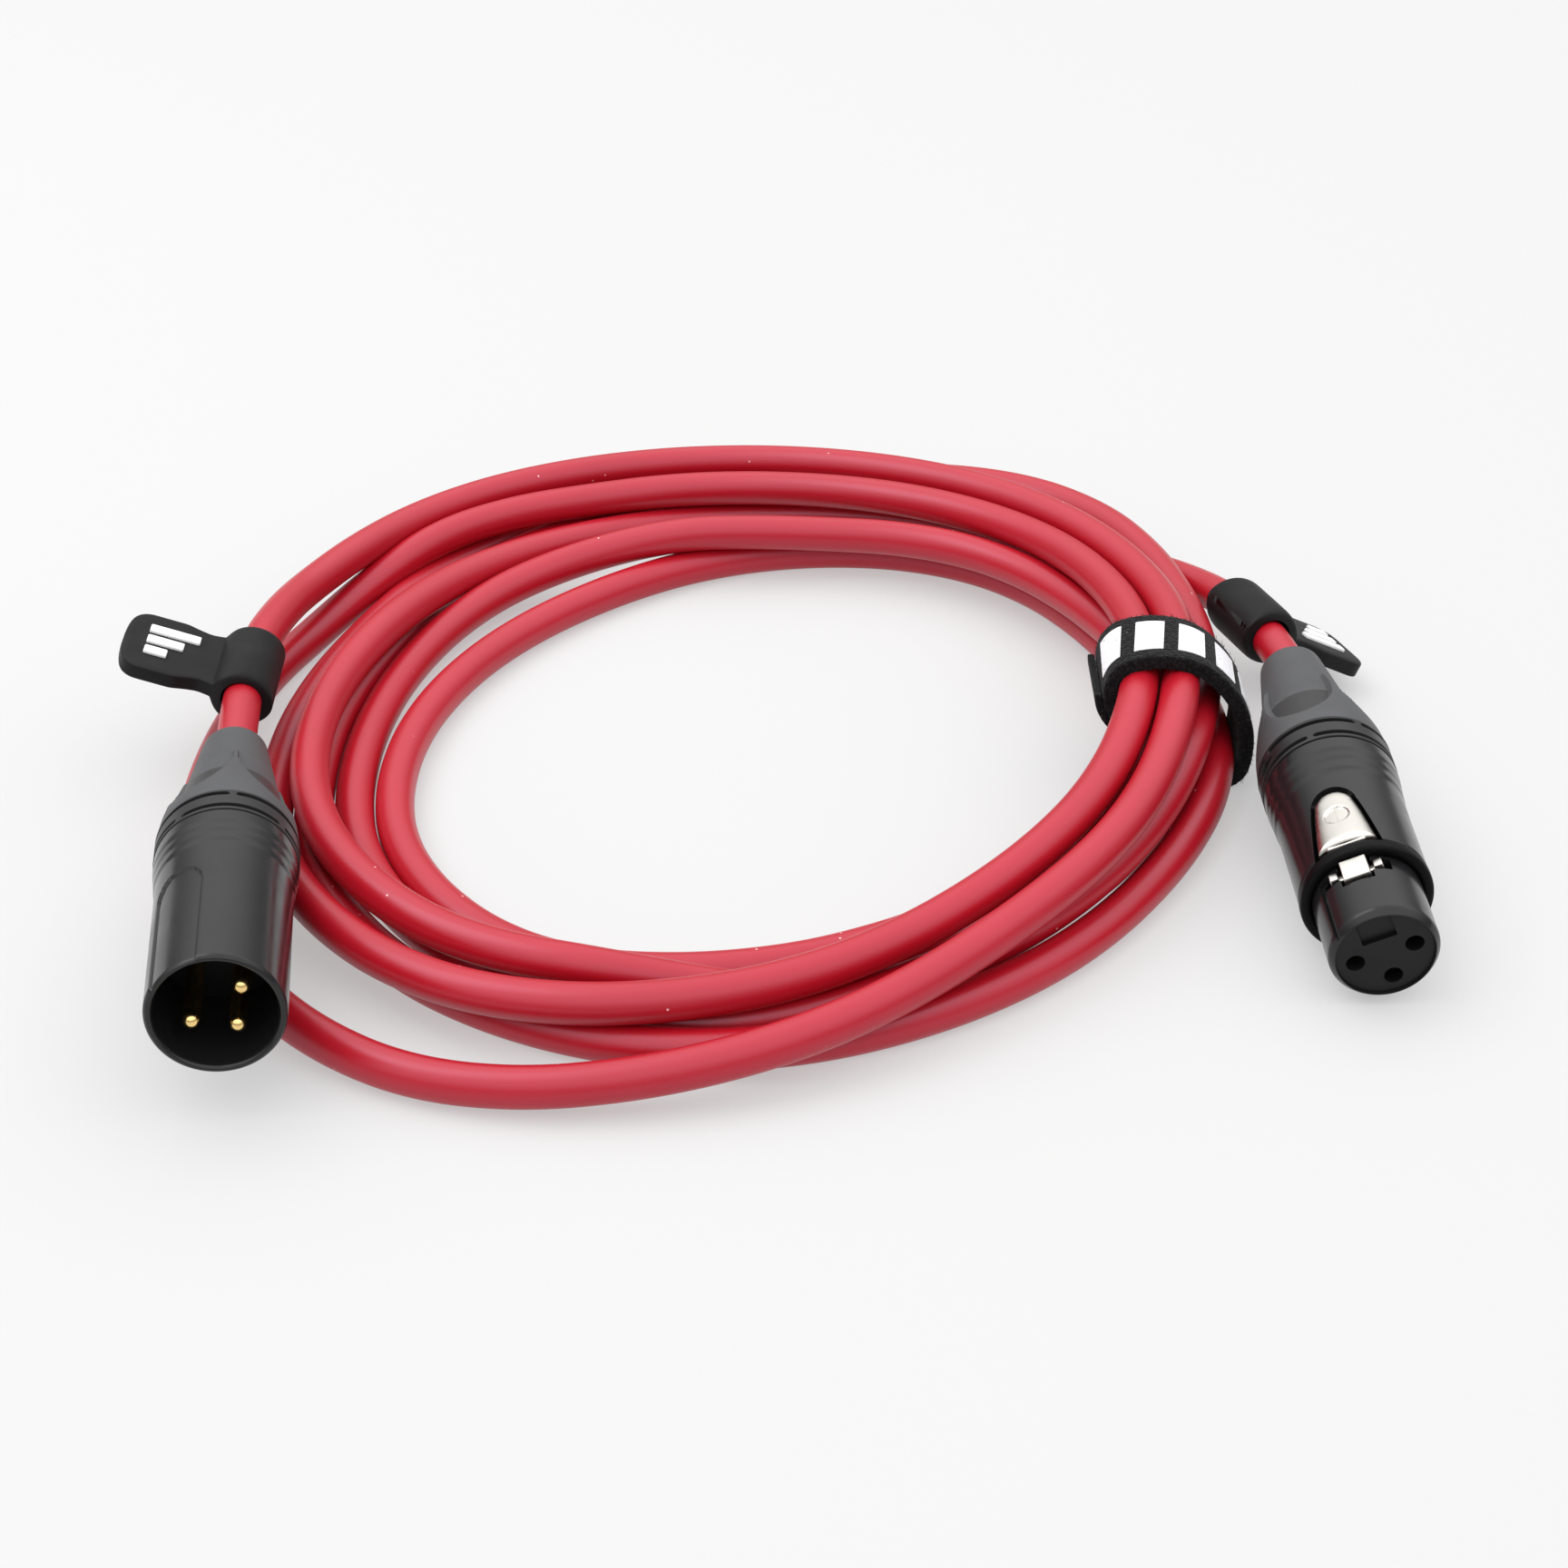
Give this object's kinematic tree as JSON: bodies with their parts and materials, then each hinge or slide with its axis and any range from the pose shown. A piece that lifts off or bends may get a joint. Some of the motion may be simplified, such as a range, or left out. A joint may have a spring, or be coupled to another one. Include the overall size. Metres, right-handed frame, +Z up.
{
  "type": "xlr cable coil",
  "caption": "Red microphone lead wound in a round coil with a black three-pin plug at one end, a latching three-socket plug at the other, a tag on each end and a hook-and-loop strap.",
  "frame": {"origin": "bottom centre of the box round the connectors, tags and strap, on the surface the lead lies on", "axes": "+Z up, -Y is the way both plugs point, +X from the pin plug towards the socket plug"},
  "size_m": [0.1996, 0.1862, 0.0266],
  "materials": {
    "cable_jacket": "satin red PVC",
    "shell_black": "gloss black lacquer on zinc",
    "insert_black": "moulded black",
    "ring_black": "satin black",
    "bushing_black": "satin black",
    "boot_rubber": "matt dark grey",
    "chuck_grey": "moulded",
    "spring_steel": "bright",
    "wire_bare": "tinned copper",
    "wire_white": "insulation",
    "wire_blue": "insulation",
    "tag_silicone": "matt silicone",
    "mark_white": "raised white",
    "contact_gold": "gold plate",
    "latch_metal": "satin nickel",
    "gasket_rubber": "black",
    "strap_fabric": "woven hook and loop",
    "print_white": "screen print"
  },
  "bodies": {
    "lead": {"cable_coil": "cable_jacket", "cable_loose_turn": "cable_jacket", "cable_tail_male": "cable_jacket", "cable_tail_female": "cable_jacket", "male_shell": "shell_black", "male_insert": "insert_black", "male_coding_ring": "ring_black", "male_bushing": "bushing_black", "male_boot": "boot_rubber", "male_chuck": "chuck_grey", "male_cable_end": "cable_jacket", "male_earth_spring": "spring_steel", "male_conductor_drain": "wire_bare", "male_conductor_hot": "wire_white", "male_conductor_cold": "wire_blue", "female_shell": "shell_black", "female_insert": "insert_black", "female_coding_ring": "ring_black", "female_bushing": "bushing_black", "female_boot": "boot_rubber", "female_chuck": "chuck_grey", "female_cable_end": "cable_jacket", "female_earth_spring": "spring_steel", "female_conductor_drain": "wire_bare", "female_conductor_hot": "wire_white", "female_conductor_cold": "wire_blue", "male_pin_1": "contact_gold", "female_socket_1": "contact_gold", "male_pin_2": "contact_gold", "female_socket_2": "contact_gold", "male_pin_3": "contact_gold", "female_socket_3": "contact_gold", "female_latch_spring": "spring_steel", "female_gasket": "gasket_rubber", "strap_band": "strap_fabric", "strap_print": "print_white"},
    "latch": {"female_latch": "latch_metal"},
    "pin_side_tag": {"male_tag": "tag_silicone", "male_tag_mark": "mark_white"},
    "socket_side_tag": {"female_tag": "tag_silicone", "female_tag_mark": "mark_white"},
    "strap_end": {"strap_tail": "strap_fabric"}
  },
  "joints": [
    {"name": "latch_press", "type": "hinge", "parent": "lead", "child": "latch", "pos_m": [0.08385, -0.01009, 0.01635], "axis": [0.9206, 0.0168, 0.3901], "range_deg": [0, 4], "stiffness_Nm_per_rad": 0.4, "springref_deg": -1.72, "deforming": ["female_latch_spring"]},
    {"name": "pin_side_tag_turn", "type": "hinge", "parent": "lead", "child": "pin_side_tag", "pos_m": [-0.08043, 0.0287, 0.01555], "axis": [-0.0111, 0.9998, 0.0167], "range_deg": [-20, 100]},
    {"name": "socket_side_tag_turn", "type": "hinge", "parent": "lead", "child": "socket_side_tag", "pos_m": [0.08067, 0.05195, 0.0125], "axis": [0.2834, -0.9551, 0.0863], "range_deg": [0, 110]},
    {"name": "strap_peel", "type": "hinge", "parent": "lead", "child": "strap_end", "pos_m": [0.05291, 0.02595, 0.01726], "axis": [0, 1, 0], "range_deg": [0, 70]}
  ]
}
